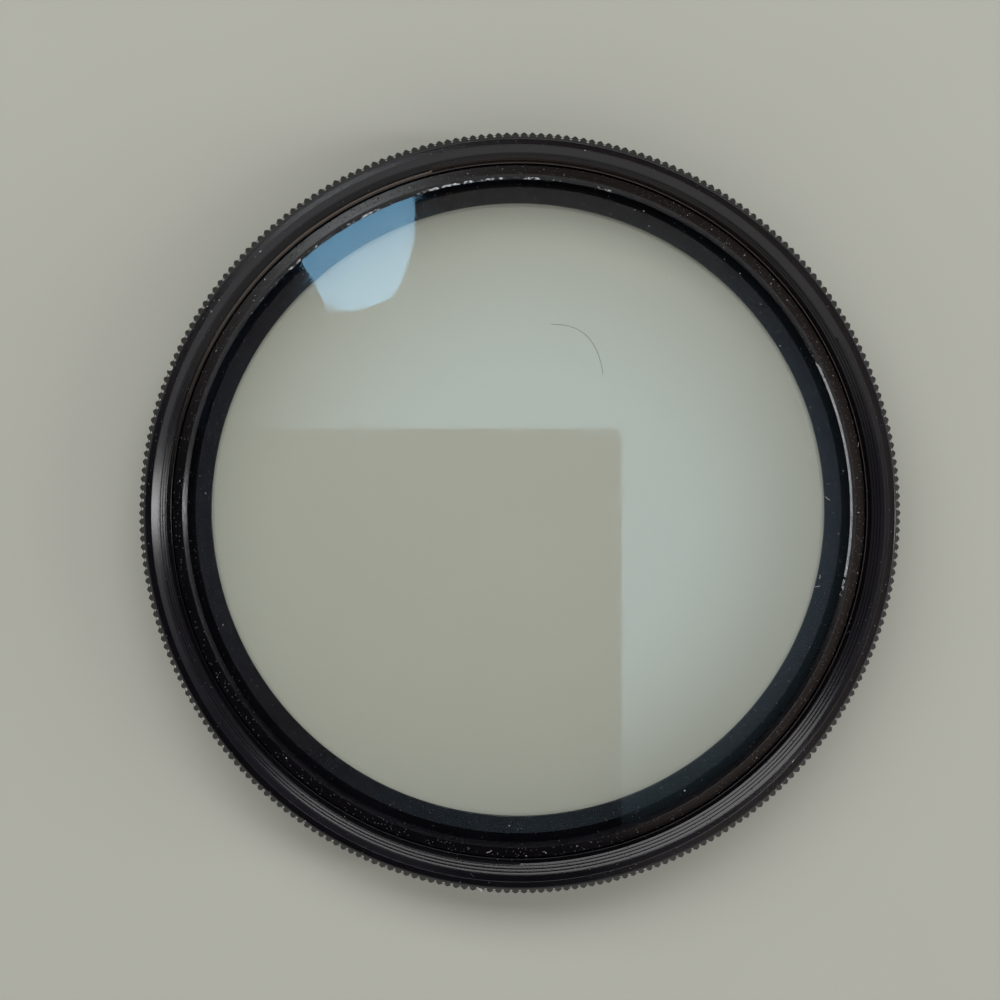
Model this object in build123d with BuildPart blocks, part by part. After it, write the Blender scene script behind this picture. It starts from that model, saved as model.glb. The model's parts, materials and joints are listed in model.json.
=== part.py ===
from build123d import *
from math import cos, radians, sin
import os

# A screw-in UV filter for a camera lens, in millimetres: a ring of black anodised aluminium, turned
# from knurled stock, a flat round glass on a seat inside it, and a retaining ring that holds the
# glass down. The front, with the female thread, faces +Z. The origin is the centre of the rear end,
# the end of the male thread, on which the filter lies.

# Mounting thread, of one nominal size in front and behind. The solids hold its plain cylinders: the
# crests of the male thread behind, and the crests of the female thread in front. A metric thread's
# flanks overlap by this share of the pitch.
thread_diameter = 58.0
thread_pitch = 0.75
thread_overlap_share = 0.541
front_thread_length = 2.4
lead_in_width = 0.5
lead_in_depth = 0.5
male_thread_length = 2.0
male_thread_clearance = 0.05
male_thread_bevel = 0.3
relief_width = 0.4
relief_depth = 0.5

# Rim: its wall outside the nominal thread, measured to the crests of the knurl
rim_wall = 1.25
rim_bevel = 0.65
knurl_teeth = 278
knurl_depth = 0.3

# Retaining ring, pushed into a plain bore below the front thread
front_ledge_width = 0.35
retainer_side_clearance = 0.03
retainer_thickness = 0.5
retainer_recess = 0.1
retainer_bevel_width = 0.28
retainer_bevel_depth = 0.4
retainer_edge_break = 0.1

# Glass, which the retaining ring overhangs outside and laps inside the glass's edge
retainer_overhang = 0.45
retainer_lap = 0.7
glass_thickness = 1.5
glass_bevel = 0.15
glass_side_clearance = 0.1
glass_above_pocket = 0.15

# Seat, a flange under the glass with the clear aperture inside it
seat_width = 2.4
seat_thickness = 0.8
seat_bevel_width = 1.25
seat_bevel_depth = 0.4
rear_edge_bevel = 0.2

# Radii that follow, from the thread out to the rim and in to the aperture
thread_radius = thread_diameter / 2
rim_radius = thread_radius + rim_wall
male_thread_radius = thread_radius - male_thread_clearance
front_bore_radius = thread_radius - thread_overlap_share * thread_pitch
retainer_bore_radius = front_bore_radius - front_ledge_width
retainer_radius = retainer_bore_radius - retainer_side_clearance
glass_radius = retainer_radius - retainer_overhang
pocket_radius = glass_radius + glass_side_clearance
retainer_opening_radius = glass_radius - retainer_lap
aperture_radius = glass_radius - seat_width

# Heights that follow, from the rear end up
shoulder_z = male_thread_length
glass_front_z = seat_thickness + glass_thickness
pocket_top_z = glass_front_z - glass_above_pocket
thread_end_z = glass_front_z + retainer_thickness + retainer_recess
front_z = thread_end_z + front_thread_length + lead_in_depth
rim_height = front_z - shoulder_z
half_tooth_angle = 180 / knurl_teeth


def knurl_outline():
    """Corners of the straight knurl across its axis: a crest, then a root, all the way round."""
    corners = []
    for tooth in range(knurl_teeth):
        crest_angle = radians(2 * tooth * half_tooth_angle)
        root_angle = radians((2 * tooth + 1) * half_tooth_angle)
        root_radius = rim_radius - knurl_depth
        corners.append((rim_radius * cos(crest_angle), rim_radius * sin(crest_angle)))
        corners.append((root_radius * cos(root_angle), root_radius * sin(root_angle)))
    return corners


# Stock for the rim, with both edges bevelled at 45 degrees. It has one flat side for each knurl
# tooth, so that the bevels end the teeth in flat facets.
with BuildPart() as bevelled_stock:
    with BuildSketch(Plane.XY.offset(shoulder_z + rim_bevel)):
        RegularPolygon(rim_radius, knurl_teeth, major_radius=False, rotation=half_tooth_angle)
    extrude(amount=rim_height - 2 * rim_bevel)
    for end in bevelled_stock.faces().filter_by(Axis.Z):
        extrude(end, amount=rim_bevel, taper=45)

# Filter ring, one turned piece: a knurled rim, the male thread's spigot behind it, and the bore
with BuildPart() as filter_ring:
    with BuildSketch(Plane.XY.offset(shoulder_z)):
        with BuildLine():
            Polyline(knurl_outline(), close=True)
        make_face()
    extrude(amount=rim_height)
    add(bevelled_stock.part, mode=Mode.INTERSECT)

    # Spigot: from the rear end out over the thread's first turn and back to the relief at the
    # rim's shoulder
    with BuildSketch(Plane.XZ):
        with BuildLine():
            Polyline(
                (0, 0),
                (male_thread_radius - male_thread_bevel, 0),
                (male_thread_radius, male_thread_bevel),
                (male_thread_radius, shoulder_z - relief_width),
                (male_thread_radius - relief_depth, shoulder_z - relief_width),
                (male_thread_radius - relief_depth, shoulder_z),
                (0, shoulder_z),
                close=True,
            )
        make_face()
    revolve(axis=Axis.Z)

    # Bore: from the rear end of the aperture up over the seat's bevel, the seat, the glass's pocket
    # and the retaining ring's bore to the front thread and its lead-in
    with BuildSketch(Plane.XZ):
        with BuildLine():
            Polyline(
                (0, 0),
                (aperture_radius + rear_edge_bevel, 0),
                (aperture_radius, rear_edge_bevel),
                (aperture_radius, seat_thickness - seat_bevel_depth),
                (aperture_radius + seat_bevel_width, seat_thickness),
                (pocket_radius, seat_thickness),
                (pocket_radius, pocket_top_z),
                (retainer_bore_radius, pocket_top_z),
                (retainer_bore_radius, thread_end_z),
                (front_bore_radius, thread_end_z),
                (front_bore_radius, front_z - lead_in_depth),
                (front_bore_radius + lead_in_width, front_z),
                (0, front_z),
                close=True,
            )
        make_face()
    revolve(axis=Axis.Z, mode=Mode.SUBTRACT)

filter_ring.part.label = "filter_ring"

# Glass, a flat disc with both edges broken, lying on the seat
with BuildPart() as filter_glass:
    with BuildSketch(Plane.XY.offset(seat_thickness)):
        Circle(glass_radius)
    extrude(amount=glass_thickness)
    chamfer(filter_glass.edges(), length=glass_bevel)

filter_glass.part.label = "filter_glass"

# Retaining ring, resting on the glass. Its inner front edge has a steep bevel down to a thin foot.
with BuildPart() as retaining_ring:
    with BuildSketch(Plane.XY.offset(glass_front_z)):
        Circle(retainer_radius)
        Circle(retainer_opening_radius, mode=Mode.SUBTRACT)
    extrude(amount=retainer_thickness)
    front_face = retaining_ring.faces().sort_by(Axis.Z)[-1]
    opening_edge = front_face.edges().sort_by(SortBy.RADIUS)[0]
    chamfer(
        opening_edge,
        length=retainer_bevel_width,
        length2=retainer_bevel_depth,
        reference=front_face,
    )
    rim_edges = retaining_ring.edges().filter_by(GeomType.CIRCLE).group_by(SortBy.RADIUS)[-1]
    chamfer(rim_edges, length=retainer_edge_break)

retaining_ring.part.label = "retaining_ring"

os.makedirs("parts", exist_ok=True)
export_step(filter_ring.part, "parts/filter_ring.step")
export_step(filter_glass.part, "parts/filter_glass.step")
export_step(retaining_ring.part, "parts/retaining_ring.step")
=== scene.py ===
"""The looks of a screw-in UV filter: knurled ring, retaining ring, coated glass and the dust on them."""

import json
from math import atan, pi, radians

import bpy
import numpy as np
from bpy.props import FloatProperty, FloatVectorProperty, IntProperty, PointerProperty
from bpy.types import Operator, Panel, PropertyGroup
from mathutils import Matrix, Vector


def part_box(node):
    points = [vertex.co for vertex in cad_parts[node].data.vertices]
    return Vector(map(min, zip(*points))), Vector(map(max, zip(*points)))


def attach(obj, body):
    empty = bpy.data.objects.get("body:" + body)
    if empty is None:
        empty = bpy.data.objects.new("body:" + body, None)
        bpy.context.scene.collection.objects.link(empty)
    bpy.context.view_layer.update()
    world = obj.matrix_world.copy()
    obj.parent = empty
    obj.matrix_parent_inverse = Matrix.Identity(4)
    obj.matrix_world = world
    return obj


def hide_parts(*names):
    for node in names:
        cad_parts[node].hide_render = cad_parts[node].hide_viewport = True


bl_info = {
    "name": "Screw-in UV filter",
    "version": (1, 0, 0),
    "blender": (4, 5, 0),
    "location": "View3D > Sidebar > UV Filter",
    "description": "Builds a UV filter: knurled ring, retaining ring, coated glass and dust",
    "category": "Object",
}

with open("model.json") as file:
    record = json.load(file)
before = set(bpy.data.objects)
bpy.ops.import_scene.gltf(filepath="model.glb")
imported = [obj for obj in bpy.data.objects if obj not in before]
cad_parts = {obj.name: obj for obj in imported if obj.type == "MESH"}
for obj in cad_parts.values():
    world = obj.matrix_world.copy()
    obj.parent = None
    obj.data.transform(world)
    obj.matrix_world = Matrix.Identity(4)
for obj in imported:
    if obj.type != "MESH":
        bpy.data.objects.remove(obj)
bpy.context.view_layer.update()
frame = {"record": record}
_, ring_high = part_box("filter_ring")
glass_low, glass_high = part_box("filter_glass")
retainer_low, retainer_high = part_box("retaining_ring")

MM = 0.001
SMOOTH_ANGLE = radians(38)
WELD = 1e-8
GLASS_IOR = 1.52

# The picture's side, and the lens's distance from it, both in pixels
PICTURE_SIDE = 1000
PICTURE_DISTANCE = 1267.5

# Wear of the knurl: teeth that are knocked bare from end to end, and the part that is handled most
KNOCKS = (radians(157.6), radians(264.1))
KNOCK_SPREAD = radians(0.35)
HANDLED_MIDDLE = radians(208)
HANDLED_SPREAD = radians(12)

# Seed of the loose specks, and their smallest and largest radius
DUST_SEED = 58
SPECK_SIZES = (0.018 * MM, 0.075 * MM)

# The hair on the glass, as the three corners of its curve in millimetres
HAIR = ((2.6, 15.2), (6.4, 15.4), (6.9, 11.0))
HAIR_RADIUS = 0.018 * MM

# Short fibres: place, heading in degrees and length in millimetres, and the height of what they lie on
FIBRES = (
    (25.2, 1.0, -40.0, 0.5, glass_high.z),
    (24.4, -6.2, 10.0, 0.4, glass_high.z),
    (24.6, -5.4, 80.0, 0.35, glass_high.z),
    (23.8, 4.6, 30.0, 0.3, glass_high.z),
    (27.6, 5.4, 85.0, 0.35, retainer_high.z),
    (-2.4, -27.7, 20.0, 0.45, retainer_high.z),
    (2.1, -27.7, 160.0, 0.3, retainer_high.z),
)
FIBRE_RADIUS = 0.014 * MM

# Lamps: place, width and height in metres
KEY_LAMP = ((-0.12, 0.59, 0.69), 1.5, 0.38)
SIDE_LAMP = ((0.73, -0.06, 0.135), 0.80, 0.08)

# Outlines on the glass, in millimetres, of the images of two panels that it reflects, and the middle
# and radius of a round one
WINDOW = (
    *((-18.0, 21.0), (-17.5, 19.9), (-15.8, 16.9), (-15.2, 16.4), (-13.7, 16.3), (-12.0, 16.7)),
    *((-10.4, 17.4), (-9.6, 18.6), (-8.9, 20.6), (-8.5, 22.4), (-8.5, 27.0), (-18.0, 27.0)),
)
SHADE = ((-34.0, -36.0), (8.4, -36.0), (8.4, 6.2), (7.9, 6.7), (-34.0, 6.7))
CEILING_MIDDLE = (1.0, -1.0)
CEILING_RADIUS = 28.0

# Heights of the three panels
WINDOW_HEIGHT = 400.0 * MM
CEILING_HEIGHT = 500.0 * MM
SHADE_HEIGHT = 105.0 * MM


def mount_radius(name):
    """Radius of the record's mount of that name, in metres."""
    mounts = {mount["name"]: mount for mount in frame["record"]["mounts"]}
    return mounts[name]["dims"]["r_mm"] * MM


def length_property(name, description, default):
    """A length in metres that shows in the scene's units."""
    display = {"precision": 5, "unit": "LENGTH", "subtype": "DISTANCE"}
    return FloatProperty(name=name, description=description, default=default, min=0.0, **display)


def level_property(name, description, default):
    """A power or a strength."""
    return FloatProperty(name=name, description=description, default=default, min=0.0)


def colour_property(name, description, default):
    """A linear colour without alpha."""
    return FloatVectorProperty(
        name=name, description=description, default=default, min=0.0, max=1.0, size=3, subtype="COLOR"
    )


# Sizes and finishes that a user would change


class FilterRingSizes(PropertyGroup):
    """Section of the turned ring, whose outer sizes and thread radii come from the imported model."""

    rim_radius: length_property("Rim radius", "Radius over the crests of the knurl", ring_high.x)
    front_height: length_property("Front height", "Height of the flat front face", ring_high.z)
    shoulder_height: length_property("Shoulder height", "Height of the rim's rear face", 2.0 * MM)
    rim_bevel: length_property("Rim bevel", "Size of the bevels that end the knurl", 0.65 * MM)
    knurl_depth: length_property("Knurl depth", "From the crests to the roots of the knurl", 0.3 * MM)
    knurl_teeth: IntProperty(name="Knurl teeth", description="Teeth round the rim", default=278, min=60)
    pitch: length_property("Thread pitch", "Rise of both threads in one turn", 0.75 * MM)
    female_crest: length_property("Female crest", "Bore over the crests", mount_radius("front_thread"))
    female_depth: length_property("Female depth", "Depth of the front thread's groove", 0.38 * MM)
    male_crest: length_property("Male crest", "Radius over the crests", mount_radius("rear_thread"))
    male_depth: length_property("Male depth", "Depth of the rear thread's groove", 0.44 * MM)
    male_bevel: length_property("Male bevel", "Bevel at the rear end of the male thread", 0.3 * MM)
    relief_radius: length_property("Relief radius", "Groove between thread and shoulder", 28.45 * MM)
    relief_width: length_property("Relief width", "Length of that groove", 0.4 * MM)
    lead_in_width: length_property("Lead-in width", "Cone in front of the thread, across", 0.5 * MM)
    lead_in_depth: length_property("Lead-in depth", "The same cone, along the axis", 0.5 * MM)
    ledge_radius: length_property("Ledge radius", "Bore round the retaining ring", 28.244 * MM)
    pocket_radius: length_property("Pocket radius", "Bore round the glass", 27.864 * MM)
    pocket_height: length_property("Pocket height", "Top of the pocket's wall", 2.15 * MM)
    aperture_radius: length_property("Aperture radius", "Clear opening behind the glass", 25.364 * MM)
    seat_bevel: length_property("Seat bevel", "Width of the seat's inner bevel", 1.25 * MM)
    seat_bevel_depth: length_property("Seat bevel depth", "Depth of that bevel", 0.4 * MM)
    rear_bevel: length_property("Rear bevel", "Bevel at the rear end of the aperture", 0.2 * MM)
    recess: length_property("Recess", "From the retaining ring up to the front thread", 0.1 * MM)


class RetainingRingSizes(PropertyGroup):
    """Section of the thin ring in front of the glass."""

    opening_radius: length_property("Opening radius", "Inner edge, round the glass", 27.064 * MM)
    lip_width: length_property("Lip width", "Steep bevel on the inner front edge, across", 0.28 * MM)
    lip_depth: length_property("Lip depth", "The same bevel, along the axis", 0.4 * MM)
    edge_break: length_property("Edge break", "Small bevels on the outer edges", 0.1 * MM)
    columns: IntProperty(name="Columns", description="Points round the ring", default=720, min=90)


class GlassSizes(PropertyGroup):
    """The flat round glass."""

    edge_bevel: length_property("Edge bevel", "Bevels on both edges", 0.15 * MM)
    columns: IntProperty(name="Columns", description="Points round the glass", default=720, min=90)


class FilterFinishes(PropertyGroup):
    """Colours of the anodised metal, the bare metal, the coating and the dust."""

    anodised: colour_property("Anodised metal", "Dye of the black anodising", (0.0020, 0.0017, 0.0026))
    bare_metal: colour_property("Bare metal", "Aluminium where dye is rubbed off", (0.78, 0.78, 0.80))
    coating: colour_property("Coating", "Colour of what the glass reflects", (0.34, 0.70, 1.0))
    dust: colour_property("Dust", "Colour of the dust and lint", (0.62, 0.62, 0.58))
    floor: colour_property("Floor", "Colour of the floor", (0.42, 0.43, 0.37))
    dust_specks: IntProperty(name="Dust specks", description="Loose specks", default=420, min=0)


class StageSettings(PropertyGroup):
    """Camera and light."""

    camera_place: FloatVectorProperty(
        name="Camera place",
        description="Where the camera stands",
        default=(-3.05 * MM, 6.28 * MM, 105.8 * MM),
        size=3,
        precision=5,
        subtype="TRANSLATION",
        unit="LENGTH",
    )
    camera_angle: FloatProperty(
        name="Camera angle",
        description="Field of view across the picture",
        default=2 * atan(PICTURE_SIDE / 2 / PICTURE_DISTANCE),
        subtype="ANGLE",
        unit="ROTATION",
    )
    camera_foot: FloatVectorProperty(
        name="Camera foot",
        description="Place in the picture, from left and top, that lies straight under the camera",
        default=(481.3 / PICTURE_SIDE, 433.8 / PICTURE_SIDE),
        size=2,
    )
    key_power: level_property("Key power", "Watts of the large soft lamp", 7.6)
    side_power: level_property("Side power", "Watts of the low side lamp", 3.0)
    window_strength: level_property("Window strength", "Radiance of the window panel", 8.0)
    ceiling_strength: level_property("Ceiling strength", "Radiance of the round panel", 4.4)
    shade_strength: level_property("Shade strength", "Radiance of the dark panel", 0.5)


# Shapes, worked out with numpy as whole arrays


def turn_angles(columns):
    """Evenly spread angles of a full turn, with the first one again at the end."""
    return np.linspace(0.0, 2 * pi, columns + 1)


def round_corners(corners, radius, steps=4, guard=0.0):
    """Round every inner corner of a section line and say which of its points are on an edge.

    The arc at a corner touches both sides: its centre lies on the bisector at radius / sin(half the
    corner's angle), and its points come from turning the first spoke into the last one evenly. A guard
    point on each side, at that distance from the arc, keeps the flat faces flat in smooth shading.
    Returns points (n, 2) and rub (n), 1 on arcs.
    """
    here = corners[1:-1]
    before = corners[:-2] - here
    after = corners[2:] - here
    before /= np.linalg.norm(before, axis=1, keepdims=True)
    after /= np.linalg.norm(after, axis=1, keepdims=True)
    half_angle = np.arccos(np.clip((before * after).sum(1), -1, 1))[:, None] / 2
    reach = radius / np.tan(half_angle)
    bisector = before + after
    bisector /= np.linalg.norm(bisector, axis=1, keepdims=True)
    centre = here + bisector * radius / np.sin(half_angle)
    first_spoke = here + before * reach - centre
    last_spoke = here + after * reach - centre
    turn = (pi - 2 * half_angle)[:, None]
    share = np.linspace(0.0, 1.0, steps)[None, :, None]
    arcs = centre[:, None] + (
        np.sin((1 - share) * turn) * first_spoke[:, None] + np.sin(share * turn) * last_spoke[:, None]
    ) / np.sin(turn)
    guards_before = (here + before * (reach + guard))[:, None]
    guards_after = (here + after * (reach + guard))[:, None]
    rounded = np.concatenate([guards_before, arcs, guards_after], axis=1)
    rub_and_sheen = np.ones(rounded.shape[:2])
    rub_and_sheen[:, [0, -1]] = 0.0
    points = np.concatenate([corners[:1], rounded.reshape(-1, 2), corners[-1:]])
    return points, np.concatenate([[0.0], rub_and_sheen.ravel(), [0.0]])


def revolve(profile, rub_and_sheen, angles):
    """Radius, height and rub of a section line, repeated at every angle round the Z axis."""
    return tuple(np.repeat(line[:, None], len(angles), axis=1) for line in (*profile.T, rub_and_sheen))


def turned_surface(section, rounding, guard, columns):
    """Radius, height, rub and angles of a section line with rounded corners, turned round the axis."""
    line, rub_and_sheen = round_corners(np.array(section), rounding, guard=guard)
    angles = turn_angles(columns)
    return (*revolve(line, rub_and_sheen, angles), angles)


def grid_points(radius, height, angles):
    """Points of a grid given by radius and height at each angle: x = r cos a, y = r sin a."""
    return np.stack([radius * np.cos(angles), radius * np.sin(angles), height], axis=-1).reshape(-1, 3)


def grid_triangles(rows, columns, first=0):
    """Two triangles for each cell of a grid whose points are numbered row by row."""
    corner = first + (np.arange(rows - 1)[:, None] * columns + np.arange(columns - 1)).ravel()
    cells = np.stack([corner, corner + 1, corner + columns + 1, corner + columns], axis=1)
    return np.concatenate([cells[:, [0, 1, 2]], cells[:, [0, 2, 3]]])


def fan_triangles(fine_row, coarse_row):
    """Join a row of 4 n + 1 points to one of n + 1 points, with five triangles for each coarse step."""
    first, second, third, fourth = fine_row[:-1].reshape(-1, 4).T
    fine_end = fine_row[4::4]
    start = coarse_row[:-1]
    end = coarse_row[1:]
    corners = (
        (start, first, second),
        (start, second, third),
        (start, third, end),
        (end, third, fourth),
        (end, fourth, fine_end),
    )
    return np.concatenate([np.stack(corner, axis=1) for corner in corners])


def weld(points, triangles, values):
    """Make one point of those at the same place, and drop the triangles that then have no area."""
    keys = np.round(points / WELD).astype(np.int64)
    _, first, number = np.unique(keys, axis=0, return_index=True, return_inverse=True)
    triangles = number.reshape(-1)[triangles]
    a, b, c = triangles.T
    return points[first], triangles[(a != b) & (b != c) & (c != a)], values[first]


def face_outwards(points, triangles):
    """Turn a closed surface right side out: its volume, the sum of a . (b x c) / 6, is positive then."""
    a, b, c = (points[triangles[:, corner]] for corner in range(3))
    volume = (a * np.cross(b, c)).sum()
    return triangles if volume > 0 else triangles[:, ::-1]


def thread_shape(turns, stations, heights):
    """Depth of a thread's groove, 0 on the crest to 1 at the root, at places counted in turns."""
    return np.interp(turns % 1.0, np.append(stations, 1.0), np.append(heights, heights[0]))


def thread_rows(low, high, pitch, angles, stations):
    """Heights of the rows that follow a right-handed helix between two heights.

    A row starts at each station of the groove's shape, and climbs one pitch in a turn. It lies flat on
    the end where it would leave the thread.
    """
    turns = int(np.ceil((high - low) / pitch)) + 1
    starts = (np.arange(-1, turns)[:, None] + stations).ravel()
    heights = low + pitch * (starts[:, None] + angles / (2 * pi))
    return np.clip(heights, low, high)


# One piece's mesh, and what every piece needs


def add_object(name, data):
    """A new object in the scene, with that mesh, lamp or camera."""
    thing = bpy.data.objects.new(name, data)
    bpy.context.scene.collection.objects.link(thing)
    return thing


def flat_object(name, corners, material):
    """A flat face in the scene, which is not attached to the filter."""
    mesh = bpy.data.meshes.new(name)
    mesh.from_pydata(corners, [], [tuple(range(len(corners)))])
    mesh.materials.append(material)
    thing = add_object(name, mesh)
    return thing


def add_piece(name, points, triangles, rub_and_sheen, materials):
    """Put a closed surface into a new object that rides with the filter."""
    points, triangles, rub_and_sheen = weld(points, triangles, rub_and_sheen)
    triangles = face_outwards(points, triangles)
    mesh = bpy.data.meshes.new(name)
    mesh.from_pydata(points.tolist(), [], triangles.tolist())
    # Share of bare metal at each point: worn edges, and painted highlights where a piece sets them
    worn = mesh.attributes.new("rub_and_sheen", "FLOAT", "POINT")
    worn.data.foreach_set("value", rub_and_sheen.astype(np.float32))
    mesh.polygons.foreach_set("use_smooth", np.ones(len(mesh.polygons), bool))
    mesh.set_sharp_from_angle(angle=SMOOTH_ANGLE)
    for material in materials:
        mesh.materials.append(material)
    mesh.update()
    piece = add_object(name, mesh)
    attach(piece, "root")
    return piece


# Shader node groups that more than one material uses


def new_group(name, inputs, outputs):
    """A shader node group with number sockets, given with the inputs' defaults, and its end nodes."""
    group = bpy.data.node_groups.new(name, "ShaderNodeTree")
    for label, default in inputs.items():
        socket = group.interface.new_socket(label, in_out="INPUT", socket_type="NodeSocketFloat")
        socket.default_value = default
    for label in outputs:
        group.interface.new_socket(label, in_out="OUTPUT", socket_type="NodeSocketFloat")
    return group, group.nodes.new("NodeGroupInput"), group.nodes.new("NodeGroupOutput")


def add_node(tree, kind, **settings):
    """A node of that kind with its settings."""
    node = tree.nodes.new(kind)
    for key, value in settings.items():
        setattr(node, key, value)
    return node


def connect(tree, source, socket):
    """Link an output, or write a number or colour, into an input."""
    if isinstance(source, bpy.types.NodeSocket):
        tree.links.new(source, socket)
    else:
        socket.default_value = source


def fill(tree, node, **sources):
    """Link or write sources into a node's inputs by name, with underscores for spaces."""
    for label, source in sources.items():
        connect(tree, source, node.inputs[label.replace("_", " ")])
    return node


def math_node(tree, operation, first, second=0.0, clamp=False):
    """Output of a Math node."""
    node = add_node(tree, "ShaderNodeMath", operation=operation, use_clamp=clamp)
    connect(tree, first, node.inputs[0])
    connect(tree, second, node.inputs[1])
    return node.outputs[0]


def ramp_between(tree, value, low, high):
    """0 below low and 1 above high, smooth between them."""
    node = add_node(tree, "ShaderNodeMapRange", interpolation_type="SMOOTHSTEP")
    for socket, source in zip(node.inputs[:3], (value, low, high)):
        connect(tree, source, socket)
    return node.outputs[0]


def noise(tree, vector, scale, detail=2.0, roughness=0.5):
    """Value of a noise texture, scale in cells per metre."""
    node = add_node(tree, "ShaderNodeTexNoise")
    return fill(tree, node, Vector=vector, Scale=scale, Detail=detail, Roughness=roughness).outputs[0]


def mix_colour(tree, factor, first, second):
    """Output of a Mix node for colours."""
    node = add_node(tree, "ShaderNodeMix", data_type="RGBA")
    connect(tree, factor, node.inputs["Factor"])
    ends = [socket for socket in node.inputs if socket.type == "RGBA"]
    connect(tree, first, ends[0])
    connect(tree, second, ends[1])
    return next(socket for socket in node.outputs if socket.type == "RGBA")


def mix_value(tree, factor, first, second):
    """Output of a Mix node for numbers."""
    node = add_node(tree, "ShaderNodeMix", data_type="FLOAT")
    connect(tree, factor, node.inputs["Factor"])
    connect(tree, first, node.inputs[2])
    connect(tree, second, node.inputs[3])
    return node.outputs[0]


def object_place(tree):
    """Place in the piece's own coordinates, in metres."""
    return add_node(tree, "ShaderNodeTexCoord").outputs["Object"]


def split_axes(tree, vector):
    """The three axes of a vector."""
    node = add_node(tree, "ShaderNodeSeparateXYZ")
    connect(tree, vector, node.inputs[0])
    return node.outputs


def bump_normal(tree, height, distance, normal=None):
    """Normal of a Bump node, on top of another one where that is given."""
    node = fill(tree, add_node(tree, "ShaderNodeBump"), Distance=distance, Height=height)
    if normal is not None:
        fill(tree, node, Normal=normal)
    return node.outputs[0]


def tinted(colour, factor=1.0):
    """A colour times a factor, with its channels at most 1, and alpha."""
    return (*(min(channel * factor, 1.0) for channel in colour), 1.0)


def turning_marks_group(name):
    """Fine circular tool marks and the grain of the anodising.

    The marks are noise on a vector of radius and height, many cells a millimetre, and of the direction
    round the axis, few cells a turn, so that they run round the axis and have no seam.
    """
    inputs = {"Marks per mm": 9.0, "Cells per turn": 24.0, "Grains per mm": 11.0, "Grain share": 0.5}
    group, given, result = new_group(name, inputs, ("Height", "Cloud"))
    height_weight = 1.37
    place = object_place(group)
    x, y, z = split_axes(group, place)
    squares = [math_node(group, "MULTIPLY", axis, axis) for axis in (x, y)]
    radius = math_node(group, "SQRT", math_node(group, "ADD", *squares))
    section = math_node(group, "ADD", radius, math_node(group, "MULTIPLY", z, height_weight))
    marks_per_metre = math_node(group, "MULTIPLY", given.outputs["Marks per mm"], 1.0 / MM)
    around = math_node(group, "DIVIDE", given.outputs["Cells per turn"], 2 * pi)
    vector = add_node(group, "ShaderNodeCombineXYZ")
    for axis, socket in zip((x, y), vector.inputs):
        direction = math_node(group, "DIVIDE", axis, radius)
        connect(group, math_node(group, "MULTIPLY", direction, around), socket)
    connect(group, math_node(group, "MULTIPLY", section, marks_per_metre), vector.inputs[2])
    marks = noise(group, vector.outputs[0], 1.0, 3.0, 0.6)
    grains_per_metre = math_node(group, "MULTIPLY", given.outputs["Grains per mm"], 1.0 / MM)
    grains = noise(group, place, grains_per_metre, 2.0, 0.6)
    height = mix_value(group, given.outputs["Grain share"], marks, grains)
    fill(group, result, Height=height, Cloud=noise(group, place, 0.35 / MM, 3.0, 0.6))
    return group


def worn_edges_and_sheen_group(name):
    """Where the anodising is bare: the mesh's own per-point value, broken up by noise. It marks worn
    edges, and painted highlights on the knurl's tooth ends and the retainer's lip.
    """
    inputs = {"Amount": 0.5, "Nicks per mm": 2.5}
    group, given, result = new_group(name, inputs, ("Bare", "Polished"))
    untouched = 1.25
    softness = 0.12
    place = object_place(group)
    rub_and_sheen = add_node(group, "ShaderNodeAttribute", attribute_name="rub_and_sheen").outputs["Fac"]
    scale = math_node(group, "MULTIPLY", given.outputs["Nicks per mm"], 1.0 / MM)
    patches = noise(group, place, scale, 3.0, 0.65)
    wide = noise(group, place, 0.25 / MM, 2.0, 0.5)
    pattern = math_node(group, "ADD", patches, math_node(group, "MULTIPLY", wide, 0.6))
    reach = math_node(group, "MULTIPLY", rub_and_sheen, given.outputs["Amount"])
    threshold = math_node(group, "SUBTRACT", untouched, reach)
    bare = ramp_between(group, pattern, threshold, math_node(group, "ADD", threshold, softness))
    fill(group, result, Bare=bare, Polished=math_node(group, "MULTIPLY", rub_and_sheen, 1.0, clamp=True))
    return group


def dust_film_group(name):
    """Fine dust that settles on faces that look up, in grains, thicker in some places than in others."""
    inputs = {"Amount": 0.3, "Grains per mm": 7.0}
    group, given, result = new_group(name, inputs, ("Mask",))
    place = object_place(group)
    grains = add_node(group, "ShaderNodeTexVoronoi", feature="F1")
    scale = math_node(group, "MULTIPLY", given.outputs["Grains per mm"], 1.0 / MM)
    fill(group, grains, Vector=place, Scale=scale, Randomness=1.0)
    lot = add_node(group, "ShaderNodeSeparateColor")
    connect(group, grains.outputs["Color"], lot.inputs[0])
    drifts = noise(group, place, 0.5 / MM, 3.0, 0.6)
    facing = split_axes(group, add_node(group, "ShaderNodeNewGeometry").outputs["Normal"])
    upward = ramp_between(group, facing[2], 0.45, 0.95)
    share = math_node(group, "MULTIPLY", given.outputs["Amount"], drifts)
    chance = math_node(group, "MULTIPLY", share, upward)
    low = math_node(group, "SUBTRACT", 1.0, chance)
    high = math_node(group, "SUBTRACT", 1.05, chance)
    present = ramp_between(group, lot.outputs[0], low, high)
    outside = ramp_between(group, grains.outputs["Distance"], 0.15, 0.42)
    dot = math_node(group, "SUBTRACT", 1.0, outside)
    fill(group, result, Mask=math_node(group, "MULTIPLY", present, dot))
    return group


def place_group(tree, name, build, **values):
    """Outputs of a shared node group in a material, built at its first use."""
    group = bpy.data.node_groups.get(name) or build(name)
    return fill(tree, add_node(tree, "ShaderNodeGroup", node_tree=group), **values).outputs


def empty_tree(owner):
    """The node tree of a material or world, without its first nodes."""
    owner.use_nodes = True
    owner.node_tree.nodes.clear()
    return owner.node_tree


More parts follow.
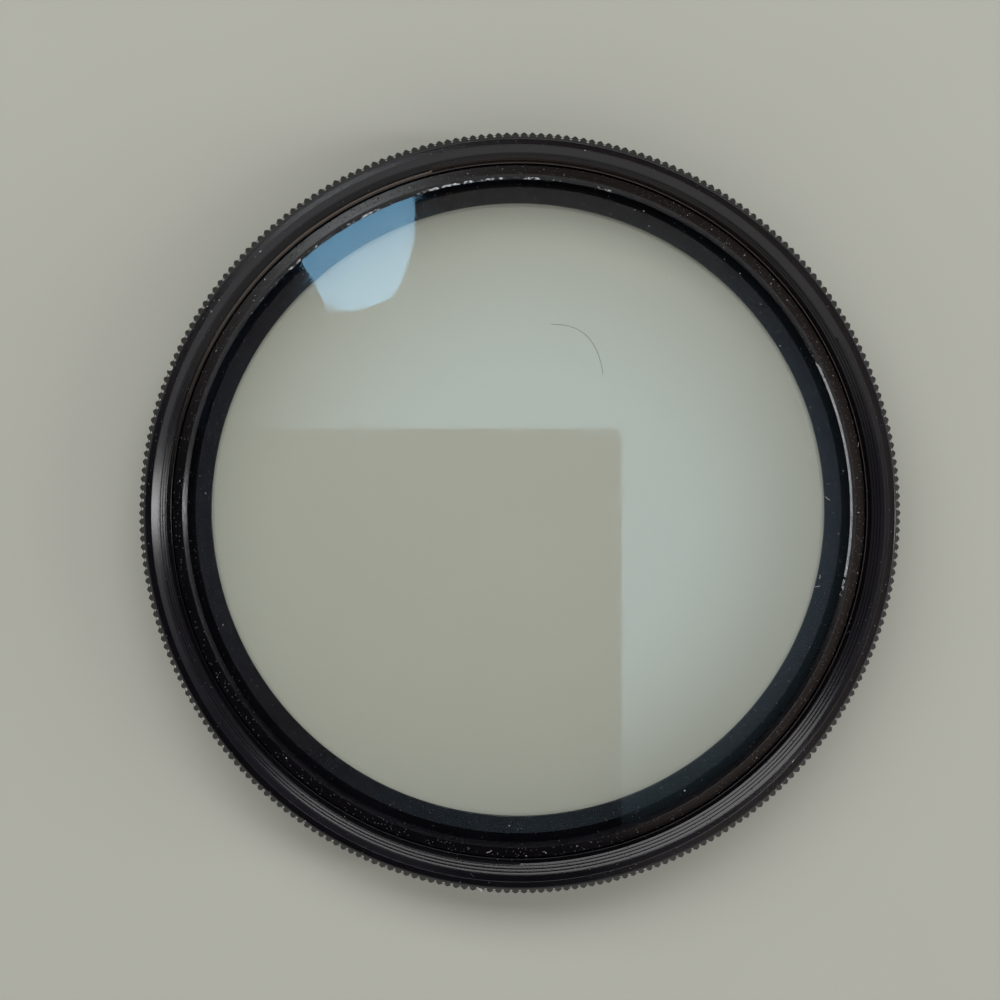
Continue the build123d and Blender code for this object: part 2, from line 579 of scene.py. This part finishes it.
def new_material(name, preview):
    """A material with one Principled BSDF, and the colour that it has in the solid view."""
    material = bpy.data.materials.new(name)
    material.diffuse_color = (*preview, 1.0)
    tree = empty_tree(material)
    shader = add_node(tree, "ShaderNodeBsdfPrincipled")
    output = fill(tree, add_node(tree, "ShaderNodeOutputMaterial"), Surface=shader.outputs[0])
    return material, tree, shader, output


def anodised_material(name, wear_and_sheen, dust, roughness, marks_per_mm, grain_share, bump):
    """Black anodised aluminium: turned, matt, dusty where it looks up, and bare on worn edges and, as a
    painted highlight, on the knurl's tooth ends and the retainer's lip.
    """
    finishes = bpy.context.scene.filter_finishes
    material, tree, shader, _ = new_material(name, finishes.anodised)
    texture = {"Marks_per_mm": marks_per_mm, "Grain_share": grain_share}
    marks = place_group(tree, "Turning marks", turning_marks_group, **texture)
    edges = place_group(tree, "Worn edges and sheen", worn_edges_and_sheen_group, Amount=wear_and_sheen)
    film = place_group(tree, "Dust film", dust_film_group, Amount=dust)["Mask"]

    faded = ramp_between(tree, marks["Cloud"], 0.35, 0.7)
    dye = mix_colour(tree, faded, tinted(finishes.anodised), tinted(finishes.anodised, 1.8))
    # Bare metal on worn edges, and as a painted highlight on the knurl's tooth ends and the retainer's
    # lip
    worn_and_sheen_colour = mix_colour(tree, edges["Bare"], dye, tinted(finishes.bare_metal))
    thin_dust = math_node(tree, "MULTIPLY", film, 0.16)
    dusty = mix_colour(tree, thin_dust, worn_and_sheen_colour, tinted(finishes.dust))

    clear = math_node(tree, "SUBTRACT", 1.0, film)
    metallic = math_node(tree, "MULTIPLY", edges["Bare"], clear)
    grainy = mix_value(tree, marks["Height"], roughness - 0.05, roughness + 0.07)
    polished = mix_value(tree, edges["Polished"], grainy, roughness * 0.9)
    rough = mix_value(tree, film, polished, 0.8)

    grain_normal = bump_normal(tree, marks["Height"], bump)
    normal = bump_normal(tree, film, 0.03 * MM, grain_normal)
    fill(tree, shader, Base_Color=dusty, Metallic=metallic, Roughness=rough, IOR=1.4, Normal=normal)
    return material


def coated_glass_material():
    """Clear glass with a blue-reflecting coating. Lamps reach what is behind it."""
    finishes = bpy.context.scene.filter_finishes
    material, tree, shader, output = new_material("Coated glass", finishes.coating)
    place = object_place(tree)
    wiped = noise(tree, place, 0.12 / MM, 3.0, 0.6)
    colour = mix_colour(tree, wiped, (0.975, 0.985, 0.98, 1.0), (0.99, 1.0, 0.995, 1.0))
    smears = ramp_between(tree, noise(tree, place, 0.6 / MM, 4.0, 0.7), 0.2, 3.2)
    fill(tree, shader, Base_Color=colour, Roughness=smears, IOR=GLASS_IOR)
    fill(tree, shader, Transmission_Weight=1.0, Specular_Tint=tinted(finishes.coating))
    clear = fill(tree, add_node(tree, "ShaderNodeBsdfTransparent"), Color=(0.93, 0.95, 0.94, 1.0))
    path = add_node(tree, "ShaderNodeLightPath")
    seen = shader.outputs[0]
    for ray in ("Is Diffuse Ray", "Is Shadow Ray"):
        chooser = add_node(tree, "ShaderNodeMixShader")
        for source, socket in zip((path.outputs[ray], seen, clear.outputs[0]), chooser.inputs):
            connect(tree, source, socket)
        seen = chooser.outputs[0]
    fill(tree, output, Surface=seen)
    return material


def ground_glass_material():
    """The glass's cylindrical edge and bevels, ground and not polished."""
    material, tree, shader, _ = new_material("Ground glass edge", (0.5, 0.55, 0.55))
    grit = noise(tree, object_place(tree), 14.0 / MM, 2.0, 0.6)
    colour = mix_colour(tree, grit, (0.55, 0.63, 0.62, 1.0), (0.78, 0.84, 0.83, 1.0))
    rough = mix_value(tree, grit, 0.5, 0.75)
    fill(tree, shader, Base_Color=colour, Roughness=rough, Transmission_Weight=0.6, IOR=GLASS_IOR)
    fill(tree, shader, Normal=bump_normal(tree, grit, 0.01 * MM))
    return material


def dust_material():
    """Pale lint and dust, a little uneven in colour."""
    dust = bpy.context.scene.filter_finishes.dust
    material, tree, shader, _ = new_material("Dust and lint", dust)
    shade = noise(tree, object_place(tree), 3.0 / MM, 2.0, 0.6)
    colour = mix_colour(tree, shade, tinted(dust, 0.7), tinted(dust, 1.3))
    fill(tree, shader, Base_Color=colour, Roughness=mix_value(tree, shade, 0.7, 1.0))
    return material


def hair_material():
    """A fine dark hair, slightly glossy."""
    material, tree, shader, _ = new_material("Hair", (0.05, 0.05, 0.04))
    shade = noise(tree, object_place(tree), 2.0 / MM, 2.0, 0.6)
    colour = mix_colour(tree, shade, (0.05, 0.05, 0.04, 1.0), (0.12, 0.11, 0.09, 1.0))
    fill(tree, shader, Base_Color=colour, Roughness=0.4)
    return material


def floor_material():
    """Plain pale floor, slightly uneven in tone."""
    floor = bpy.context.scene.filter_finishes.floor
    material, tree, shader, _ = new_material("Plain floor", floor)
    shade = noise(tree, object_place(tree), 0.05 / MM, 3.0, 0.6)
    colour = mix_colour(tree, shade, tinted(floor, 0.96), tinted(floor))
    fill(tree, shader, Base_Color=colour, Roughness=0.9)
    return material


# The pieces


def knurled_rim(sizes):
    """The rim's outside: bevel, knurl, bevel, as rows of radius and height over the angle.

    The knurl's radius is a wave of straight flanks with rounded crests and roots, one wave for each
    tooth. Both bevels are cones at 45 degrees, so the height at which a bevel meets the knurl follows
    from the radius there.
    """
    stations = np.array([0.0, 0.08, 0.22, 0.38, 0.5, 0.62, 0.78, 0.92])
    rise = np.array([0.99, 0.93, 0.58, 0.14, 0.0, 0.14, 0.58, 0.93])
    teeth = np.arange(sizes.knurl_teeth)[:, None]
    angles = np.append(((teeth + stations) * 2 * pi / sizes.knurl_teeth).ravel(), 2 * pi)
    crest = np.append(np.tile(rise, sizes.knurl_teeth), rise[0])
    outline = sizes.rim_radius - sizes.knurl_depth * (1 - crest)
    bevel_start = sizes.rim_radius - sizes.rim_bevel
    slope = outline - bevel_start
    top = sizes.front_height
    bottom = sizes.shoulder_height
    # Bare metal on the tooth ends all round is a painted highlight in place of their lit corners; the
    # extra at the handled part and on the knocked teeth is wear
    handling_and_sheen = 1.4 + 0.7 * np.exp(-(((angles - HANDLED_MIDDLE) / HANDLED_SPREAD) ** 4))
    knocked = 2.5 * sum(np.exp(-(((angles - knock) / KNOCK_SPREAD) ** 2)) for knock in KNOCKS)
    tip_wear_and_sheen = np.clip(crest - 0.5, 0.0, 0.5) * 2 * handling_and_sheen + knocked
    root_wear_and_sheen = np.clip(0.5 - crest, 0.0, 0.5) * 2 * handling_and_sheen + knocked
    edge_wear = 0.4
    step = 0.03 * MM
    guard = 0.12 * MM
    tooth_end = 0.15 * MM

    # Radius, height and bare-metal share of each row, from the front face over the teeth to the rear
    # face; on the tooth ends that share is partly painted highlight
    rows = [
        (bevel_start - guard, top, 0.0),
        (bevel_start - step, top, edge_wear),
        (bevel_start - 0.002 * MM, top - 0.006 * MM, edge_wear),
        (bevel_start + 0.02 * MM, top - 0.02 * MM, edge_wear),
        (bevel_start + 0.08 * MM, top - 0.08 * MM, 0.0),
        (outline - 5 * step, top - slope + 5 * step, 0.8 * root_wear_and_sheen),
        (outline - 3 * step, top - slope + 3 * step, root_wear_and_sheen),
        (outline - 2 * step, top - slope + 2 * step, 0.0),
        (outline - step, top - slope + step, tip_wear_and_sheen),
        (outline - 0.004 * MM, top - slope - 0.006 * MM, tip_wear_and_sheen),
        (outline, top - slope - step, tip_wear_and_sheen),
        (outline, top - slope - tooth_end, 0.5 * tip_wear_and_sheen),
        (outline, bottom + slope + tooth_end, 0.5 * tip_wear_and_sheen),
        (outline, bottom + slope + step, tip_wear_and_sheen),
        (outline - step, bottom + slope - step, tip_wear_and_sheen),
        (bevel_start + 0.02 * MM, bottom + 0.02 * MM, edge_wear),
        (bevel_start - step, bottom, edge_wear),
        (bevel_start - guard, bottom, 0.0),
    ]
    whole = np.ones_like(angles)
    radius, height, rub_and_sheen = (np.stack([row[part] * whole for row in rows]) for part in range(3))
    return radius, height, rub_and_sheen, angles


def male_thread(sizes, angles):
    """The male thread from its relief back to the rear end: helical rows, cut off by the end's bevel."""
    stations = np.array([0.0, 0.125, 0.40, 0.50, 0.625, 0.725])
    depths = np.array([0.0, 0.0, 0.9, 1.0, 1.0, 0.9])
    top = sizes.shoulder_height - sizes.relief_width
    height = thread_rows(0.0, top, sizes.pitch, angles, stations)[::-1]
    turns = height / sizes.pitch - angles / (2 * pi)
    depth = thread_shape(turns, stations, depths)
    thread = sizes.male_crest - sizes.male_depth * depth
    bevel = sizes.male_crest - sizes.male_bevel + height
    rub_and_sheen = np.where(depth < 0.05, 0.4, 0.0)
    return np.minimum(thread, bevel), height, rub_and_sheen


def female_thread(sizes, angles, low):
    """The front thread from the ledge up to the lead-in: helical rows that end on the cone.

    The groove fades in above the ledge. The height at which each line of the thread meets the cone is
    found by halving, because the cone opens faster than the groove does.
    """
    stations = np.array([0.0, 0.25, 0.54, 0.60, 0.65, 0.71])
    depths = np.array([0.0, 0.0, 0.94, 1.0, 1.0, 0.94])
    cone_foot = sizes.front_height - sizes.lead_in_depth
    cone_slope = sizes.lead_in_width / sizes.lead_in_depth
    fade_in = 0.25 * MM
    halvings = 40

    def groove_radius(height):
        turns = (height - low) / sizes.pitch - angles / (2 * pi)
        fade = np.clip((height - low) / fade_in, 0.0, 1.0)
        return sizes.female_crest + sizes.female_depth * fade * thread_shape(turns, stations, depths)

    under = np.full_like(angles, cone_foot)
    over = np.full_like(angles, sizes.front_height)
    for _ in range(halvings):
        middle = (under + over) / 2
        opened = sizes.female_crest + cone_slope * (middle - cone_foot) > groove_radius(middle)
        over = np.where(opened, middle, over)
        under = np.where(opened, under, middle)
    height = thread_rows(low, sizes.front_height, sizes.pitch, angles, stations)
    height = np.minimum(height, over)
    radius = groove_radius(height)
    return radius, height, np.zeros_like(radius)


def ring_inside(sizes, columns):
    """The ring inside its rear and front faces, from the shoulder round the rear end to the lead-in."""
    angles = turn_angles(columns)
    seat_height = glass_low.z
    ledge_height = retainer_high.z + sizes.recess
    inset = 0.5 * MM
    spigot = np.array(
        [
            (sizes.rim_radius - sizes.rim_bevel - inset, sizes.shoulder_height),
            (sizes.relief_radius, sizes.shoulder_height),
            (sizes.relief_radius, sizes.shoulder_height - sizes.relief_width),
        ]
    )
    bore = np.array(
        [
            (sizes.male_crest - sizes.male_bevel - inset, 0.0),
            (sizes.aperture_radius + sizes.rear_bevel, 0.0),
            (sizes.aperture_radius, sizes.rear_bevel),
            (sizes.aperture_radius, seat_height - sizes.seat_bevel_depth),
            (sizes.aperture_radius + sizes.seat_bevel, seat_height),
            (sizes.pocket_radius, seat_height),
            (sizes.pocket_radius, sizes.pocket_height),
            (sizes.ledge_radius, sizes.pocket_height),
            (sizes.ledge_radius, ledge_height),
            (sizes.female_crest, ledge_height),
        ]
    )
    bore_rounding = 0.04 * MM
    bore_line, bore_rub = round_corners(bore, bore_rounding, guard=bore_rounding)
    bore_rub *= 0.3
    cone_slope = sizes.lead_in_depth / sizes.lead_in_width
    mouth_radius = sizes.female_crest + sizes.lead_in_width
    foot = sizes.female_depth + 0.02 * MM
    foot_height = sizes.front_height - (sizes.lead_in_width - foot) * cone_slope
    lead_in = np.array(
        [
            (sizes.female_crest + foot, foot_height),
            (mouth_radius, sizes.front_height),
            (mouth_radius + 0.2 * MM, sizes.front_height),
        ]
    )
    mouth_rounding = 0.05 * MM
    lead_in_line, lead_in_rub = round_corners(lead_in, mouth_rounding, guard=0.02 * MM)
    lead_in_rub *= 0.4
    parts = [
        revolve(spigot, np.zeros(len(spigot)), angles),
        male_thread(sizes, angles),
        revolve(bore_line, bore_rub, angles),
        female_thread(sizes, angles, ledge_height),
        revolve(lead_in_line, lead_in_rub, angles),
    ]
    radius, height, rub_and_sheen = (np.concatenate(arrays) for arrays in zip(*parts))
    return radius, height, rub_and_sheen, angles


class FILTER_OT_ring(Operator):
    """Build the turned ring with its knurl, both threads, the seat and the lead-in"""

    bl_idname = "uv_filter.ring"
    bl_label = "Filter Ring"

    def execute(self, context):
        sizes = context.scene.filter_ring_sizes
        grids = (knurled_rim(sizes), ring_inside(sizes, 2 * sizes.knurl_teeth))
        points = []
        rub_and_sheen_parts = []
        numbers = []
        triangles = []
        first = 0
        for radius, height, rub_and_sheen, angles in grids:
            points.append(grid_points(radius, height, angles))
            rub_and_sheen_parts.append(rub_and_sheen.ravel())
            numbers.append(first + np.arange(radius.size).reshape(radius.shape))
            triangles.append(grid_triangles(*radius.shape, first))
            first += radius.size

        # The rear and front faces join the two grids
        outside, inside = numbers
        triangles.append(fan_triangles(outside[-1], inside[0]))
        triangles.append(fan_triangles(outside[0], inside[-1])[:, ::-1])
        points, triangles, rub_and_sheen = (np.concatenate(parts) for parts in (points, triangles, rub_and_sheen_parts))
        material = anodised_material(
            "Black anodised ring",
            wear_and_sheen=0.60,
            dust=0.08,
            roughness=0.15,
            marks_per_mm=8.0,
            grain_share=0.85,
            bump=0.006 * MM,
        )
        piece = add_piece("knurled_ring", points, triangles, rub_and_sheen, [material])
        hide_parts("filter_ring")
        return {"FINISHED"}


class FILTER_OT_retainer(Operator):
    """Build the thin retaining ring in front of the glass"""

    bl_idname = "uv_filter.retainer"
    bl_label = "Retaining Ring"

    def execute(self, context):
        sizes = context.scene.retaining_ring_sizes
        low = retainer_low.z
        high = retainer_high.z
        radius = retainer_high.x
        edge = sizes.edge_break
        middle = (sizes.opening_radius + radius) / 2
        crease_width = 0.12 * MM
        crease_depth = 0.24 * MM
        section = [
            (middle, low),
            (radius - edge, low),
            (radius, low + edge),
            (radius, high - edge),
            (radius - edge, high),
            (sizes.opening_radius + sizes.lip_width, high),
            (sizes.opening_radius + crease_width, high - crease_depth),
            (sizes.opening_radius, high - sizes.lip_depth),
            (sizes.opening_radius, low),
            (middle, low),
        ]
        rounding = 0.014 * MM
        rounded = turned_surface(section, rounding, 0.03 * MM, sizes.columns)
        grid_radius, grid_height, grid_rub_and_sheen, angles = rounded

        # The foot of the lip is bare metal: a little all round as wear, and most of all behind and at
        # the right as a painted highlight, where the lip catches the light
        inside_crease = grid_radius < sizes.opening_radius + crease_width + 0.01 * MM
        lower_lip = inside_crease & (grid_height > low + 0.05 * MM)
        behind = np.exp(-(((angles - radians(105)) / radians(42)) ** 4))
        right = np.exp(-((np.sin((angles - radians(7)) / 2) / 0.19) ** 4))
        grid_rub_and_sheen = np.where(lower_lip, 0.2 + 0.5 * behind + right, 0.4 * grid_rub_and_sheen)
        points = grid_points(grid_radius, grid_height, angles)
        triangles = grid_triangles(*grid_radius.shape)
        material = anodised_material(
            "Black anodised retainer",
            wear_and_sheen=0.60,
            dust=0.30,
            roughness=0.17,
            marks_per_mm=7.0,
            grain_share=0.5,
            bump=0.004 * MM,
        )
        piece = add_piece("retainer", points, triangles, grid_rub_and_sheen.ravel(), [material])
        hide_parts("retaining_ring")
        return {"FINISHED"}


class FILTER_OT_glass(Operator):
    """Build the coated glass with its ground edge"""

    bl_idname = "uv_filter.glass"
    bl_label = "Coated Glass"

    def execute(self, context):
        sizes = context.scene.glass_sizes
        radius = glass_high.x
        low = glass_low.z
        high = glass_high.z
        bevel = sizes.edge_bevel
        section = [
            (0.0, low),
            (radius - bevel, low),
            (radius, low + bevel),
            (radius, high - bevel),
            (radius - bevel, high),
            (0.0, high),
        ]
        rounding = 0.01 * MM
        rounded = turned_surface(section, rounding, 2 * rounding, sizes.columns)
        grid_radius, grid_height, grid_rub_and_sheen, angles = rounded
        points = grid_points(grid_radius, grid_height, angles)
        triangles = grid_triangles(*grid_radius.shape)
        materials = [coated_glass_material(), ground_glass_material()]
        piece = add_piece("clear_glass", points, triangles, grid_rub_and_sheen.ravel(), materials)

        # Only the two flat faces are polished
        normals = np.zeros(3 * len(piece.data.polygons), np.float32)
        piece.data.polygons.foreach_get("normal", normals)
        ground = np.abs(normals.reshape(-1, 3)[:, 2]) < 0.999
        piece.data.polygons.foreach_set("material_index", ground.astype(np.int32))
        piece.data.update()
        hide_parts("filter_glass")
        return {"FINISHED"}


def speck_shapes(random, count, size_low, size_high):
    """Small uneven octahedra with six points and eight faces each, flattened as dust lies."""
    axes = np.array([(1, 0, 0), (0, 1, 0), (-1, 0, 0), (0, -1, 0), (0, 0, 1), (0, 0, -1)], float)
    upper = [(0, 1, 4), (1, 2, 4), (2, 3, 4), (3, 0, 4)]
    lower = [(1, 0, 5), (2, 1, 5), (3, 2, 5), (0, 3, 5)]
    flatness = 0.35
    spread = random.uniform(0.55, 1.0, (count, 6, 1)) * axes
    size = size_low + (size_high - size_low) * random.random((count, 1, 1)) ** 3
    long = random.uniform(0.6, 1.6, (count, 1))
    turn = random.uniform(0.0, pi, (count, 1))
    x = spread[:, :, 0] * long
    y = spread[:, :, 1] / long
    turned_x = x * np.cos(turn) - y * np.sin(turn)
    turned_y = x * np.sin(turn) + y * np.cos(turn)
    points = np.stack([turned_x, turned_y, spread[:, :, 2] * flatness], axis=-1) * size
    return points, np.array(upper + lower)


def speck_places(random, count, opening):
    """Places of the specks: some on the retaining ring, the others on the glass, most near its edge.

    Nearly half of them lie in one drift, towards the top of the picture.
    """
    on_ring = np.arange(count) < count * 0.3
    near_edge = random.random(count) ** 0.35
    ring_radius = random.uniform(opening + 0.4 * MM, retainer_high.x - 0.15 * MM, count)
    radius = np.where(on_ring, ring_radius, near_edge * (opening - 0.2 * MM))
    angle = random.uniform(0.0, 2 * pi, count)
    drift = random.normal(radians(75), radians(38), count)
    angle = np.where(random.random(count) < 0.45, drift, angle)
    ground = np.where(on_ring, retainer_high.z, glass_high.z)
    return np.stack([radius * np.cos(angle), radius * np.sin(angle), ground], axis=1)


def lying_path(line, height):
    """A path in the plane, brought to one height."""
    return np.concatenate([line, np.full((len(line), 1), height)], axis=1)


def fibre_line(x, y, heading, length):
    """A short bent line through a place, all in millimetres and degrees."""
    along = np.linspace(-0.5, 0.5, 9)[:, None]
    direction = np.array([np.cos(radians(heading)), np.sin(radians(heading))])
    across = np.array([-direction[1], direction[0]])
    bend = 0.3 * along**2
    return (np.array([x, y]) + (along * direction + bend * across) * length) * MM


def fibre_tube(path, radius, sides=6):
    """A thin round fibre along a path: rings of points square to it, closed by a point at each end."""
    way = np.gradient(path, axis=0)
    way /= np.linalg.norm(way, axis=1, keepdims=True)
    side = np.cross(way, (0.0, 0.0, 1.0))
    side /= np.linalg.norm(side, axis=1, keepdims=True)
    over = np.cross(side, way)
    turn = (np.arange(sides) * 2 * pi / sides)[None, :, None]
    rings = path[:, None] + radius * (np.cos(turn) * side[:, None] + np.sin(turn) * over[:, None])
    around = np.arange(sides)
    after = (around + 1) % sides
    rows = np.arange(len(path) - 1)[:, None] * sides
    corner = (rows + around).ravel()
    beside = (rows + after).ravel()
    last_row = (len(path) - 1) * sides
    start = np.full(sides, len(path) * sides)
    faces = [
        np.stack([corner, beside, beside + sides], 1),
        np.stack([corner, beside + sides, corner + sides], 1),
        np.stack([start, after, around], 1),
        np.stack([start + 1, last_row + around, last_row + after], 1),
    ]
    return np.concatenate([rings.reshape(-1, 3), path[:1], path[-1:]]), np.concatenate(faces)


class FILTER_OT_dust(Operator):
    """Lay loose specks, short fibres and one hair on the glass and the retaining ring"""

    bl_idname = "uv_filter.dust"
    bl_label = "Dust and Lint"

    def execute(self, context):
        random = np.random.default_rng(DUST_SEED)
        count = context.scene.filter_finishes.dust_specks
        opening = context.scene.retaining_ring_sizes.opening_radius
        pale = dust_material()
        shapes, faces = speck_shapes(random, count, *SPECK_SIZES)
        places = speck_places(random, count, opening)
        places[:, 2] -= 0.8 * shapes[:, 5, 2]
        specks = (shapes + places[:, None]).reshape(-1, 3)
        speck_faces = (faces[None] + 6 * np.arange(count)[:, None, None]).reshape(-1, 3)

        share = np.linspace(0.0, 1.0, 40)[:, None]
        start, middle, end = (np.array(corner) * MM for corner in HAIR)
        curve = (1 - share) ** 2 * start + 2 * share * (1 - share) * middle + share**2 * end
        hair, hair_faces = fibre_tube(lying_path(curve, glass_high.z + HAIR_RADIUS), HAIR_RADIUS)

        tubes = []
        for x, y, heading, length, height in FIBRES:
            path = lying_path(fibre_line(x, y, heading, length), height + FIBRE_RADIUS)
            tubes.append(fibre_tube(path, FIBRE_RADIUS))
        fibres = np.concatenate([tube for tube, _ in tubes])
        starts = np.cumsum([0] + [len(tube) for tube, _ in tubes])
        fibre_faces = np.concatenate([sides + start for (_, sides), start in zip(tubes, starts)])

        for name, points, triangles, material in (
            ("dust_specks", specks, speck_faces, pale),
            ("hair", hair, hair_faces, hair_material()),
            ("fibres", fibres, fibre_faces, pale),
        ):
            add_piece(name, points, triangles, np.zeros(len(points)), [material])
        return {"FINISHED"}


def aim(thing, target):
    """Turn a lamp so that it shines on a point, with its upper side towards +Y."""
    back = (thing.location - Vector(target)).normalized()
    right = Vector((0.0, 1.0, 0.0)).cross(back).normalized()
    thing.rotation_euler = Matrix((right, back.cross(right), back)).transposed().to_euler()


def add_lamp(name, place, width, height, power):
    """A rectangular area lamp that shines on the filter."""
    lamp = bpy.data.lights.new(name, "AREA")
    lamp.shape = "RECTANGLE"
    lamp.size = width
    lamp.size_y = height
    lamp.energy = power
    holder = add_object(name, lamp)
    holder.location = place
    aim(holder, (0.0, 0.0, 3.0 * MM))


def add_reflection(name, outline, height, colour, strength, fade=1.0):
    """A flat glowing panel whose mirror image in the glass has the given outline, in millimetres.

    Seen from the camera, a point of the glass shows what lies on the mirrored line of sight. So the
    panel's point is the foot under the camera, plus the way from there to the point of the glass, times
    (camera height + panel height) / camera height, with both heights counted from the glass. No ray but
    a reflected one meets the panel. Its glow fades out from that share of its radius to the edge.
    """
    camera_x, camera_y, camera_z = bpy.context.scene.filter_stage.camera_place
    reach = (camera_z + height - 2 * glass_high.z) / (camera_z - glass_high.z)
    foot = np.array([camera_x, camera_y])
    edge = foot + (np.array(outline) * MM - foot) * reach
    corners = np.concatenate([edge, np.full((len(edge), 1), height)], axis=1)
    material = bpy.data.materials.new(name.capitalize() + " panel")
    tree = empty_tree(material)
    if fade < 1.0:
        middle = corners.mean(axis=0)
        radius = float(np.linalg.norm(corners[0] - middle))
        offset = add_node(tree, "ShaderNodeVectorMath", operation="DISTANCE")
        connect(tree, object_place(tree), offset.inputs[0])
        connect(tree, middle, offset.inputs[1])
        faded = ramp_between(tree, offset.outputs["Value"], fade * radius, radius)
        strength = math_node(tree, "MULTIPLY", math_node(tree, "SUBTRACT", 1.0, faded), strength)
    glow = fill(tree, add_node(tree, "ShaderNodeEmission"), Color=(*colour, 1.0), Strength=strength)
    fill(tree, add_node(tree, "ShaderNodeOutputMaterial"), Surface=glow.outputs[0])
    panel = flat_object(name, corners.tolist(), material)
    for ray in ("camera", "diffuse", "shadow", "transmission"):
        setattr(panel, "visible_" + ray, False)


def place_camera(scene, stage):
    """A level camera, straight over a place that its shift brings to the right point of the picture."""
    lens = bpy.data.cameras.new("Camera")
    lens.sensor_fit = "HORIZONTAL"
    lens.angle = stage.camera_angle
    lens.clip_start = 1.0 * MM
    lens.clip_end = 10.0
    lens.shift_x = 0.5 - stage.camera_foot[0]
    lens.shift_y = stage.camera_foot[1] - 0.5
    camera = add_object("Camera", lens)
    camera.location = stage.camera_place
    scene.camera = camera


def lay_floor():
    """A square of plain floor, just under the rear end of the filter."""
    side = 3.0
    level = -0.02 * MM
    corners = [(-side, -side, level), (side, -side, level), (side, side, level), (-side, side, level)]
    flat_object("floor", corners, floor_material())


def light_world(scene):
    """Soft surroundings: dark overhead, grey aside, light towards the viewer and at the horizon.

    The horizon is dark behind the filter.
    """
    scene.world = bpy.data.worlds.new("Studio")
    tree = empty_tree(scene.world)
    x, y, z = split_axes(tree, add_node(tree, "ShaderNodeTexCoord").outputs["Generated"])
    aside = ramp_between(tree, math_node(tree, "ABSOLUTE", x), 0.12, 0.36)
    overhead = mix_colour(tree, aside, (0.01, 0.01, 0.012, 1.0), (0.30, 0.28, 0.32, 1.0))
    towards_viewer = ramp_between(tree, math_node(tree, "MULTIPLY", y, -1.0), 0.22, 0.42)
    overhead = mix_colour(tree, towards_viewer, overhead, (0.80, 0.77, 0.76, 1.0))
    behind = ramp_between(tree, y, 0.12, 0.55)
    horizon = mix_colour(tree, behind, (1.3, 1.32, 1.36, 1.0), (0.12, 0.12, 0.14, 1.0))
    above = ramp_between(tree, z, 0.22, 0.32)
    colour = mix_colour(tree, above, horizon, overhead)
    background = fill(tree, add_node(tree, "ShaderNodeBackground"), Color=colour)
    fill(tree, add_node(tree, "ShaderNodeOutputWorld"), Surface=background.outputs[0])


class FILTER_OT_stage(Operator):
    """Set the camera, the plain floor and the soft lamps"""

    bl_idname = "uv_filter.stage"
    bl_label = "Stage"

    def execute(self, context):
        scene = context.scene
        stage = scene.filter_stage
        place_camera(scene, stage)
        scene.view_settings.view_transform = "Standard"
        lay_floor()
        add_lamp("Key", *KEY_LAMP, stage.key_power)
        add_lamp("Side", *SIDE_LAMP, stage.side_power)
        light_world(scene)

        turn = turn_angles(48)[:-1]
        circle = np.stack([np.cos(turn), np.sin(turn)], axis=1)
        ceiling = CEILING_MIDDLE + CEILING_RADIUS * circle
        add_reflection("window", WINDOW, WINDOW_HEIGHT, (0.92, 0.97, 1.0), stage.window_strength)
        add_reflection(
            "ceiling", ceiling, CEILING_HEIGHT, (1.0, 0.82, 0.68), stage.ceiling_strength, fade=0.35
        )
        add_reflection("shade", SHADE, SHADE_HEIGHT, (0.02, 0.02, 0.02), stage.shade_strength)
        return {"FINISHED"}


class VIEW3D_PT_uv_filter(Panel):
    """Sizes and finishes of the UV filter"""

    bl_label = "UV Filter"
    bl_space_type = "VIEW_3D"
    bl_region_type = "UI"
    bl_category = "UV Filter"

    def draw(self, context):
        for operator in OPERATORS:
            self.layout.operator(operator.bl_idname)
        for name, group in SETTINGS.items():
            box = self.layout.box()
            for setting in group.__annotations__:
                box.prop(getattr(context.scene, name), setting)


SETTINGS = {
    "filter_ring_sizes": FilterRingSizes,
    "retaining_ring_sizes": RetainingRingSizes,
    "glass_sizes": GlassSizes,
    "filter_finishes": FilterFinishes,
    "filter_stage": StageSettings,
}
OPERATORS = (FILTER_OT_stage, FILTER_OT_ring, FILTER_OT_retainer, FILTER_OT_glass, FILTER_OT_dust)


def register():
    """Register every class, and put the settings on the scene."""
    for group in (*SETTINGS.values(), *OPERATORS, VIEW3D_PT_uv_filter):
        bpy.utils.register_class(group)
    for name, group in SETTINGS.items():
        setattr(bpy.types.Scene, name, PointerProperty(type=group))


def unregister():
    """Take the settings off the scene, and unregister every class."""
    for name in SETTINGS:
        delattr(bpy.types.Scene, name)
    for group in reversed((*SETTINGS.values(), *OPERATORS, VIEW3D_PT_uv_filter)):
        bpy.utils.unregister_class(group)


def main():
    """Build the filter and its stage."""
    register()
    bpy.ops.uv_filter.stage()
    bpy.ops.uv_filter.ring()
    bpy.ops.uv_filter.retainer()
    bpy.ops.uv_filter.glass()
    bpy.ops.uv_filter.dust()


if __name__ == "__main__":
    main()
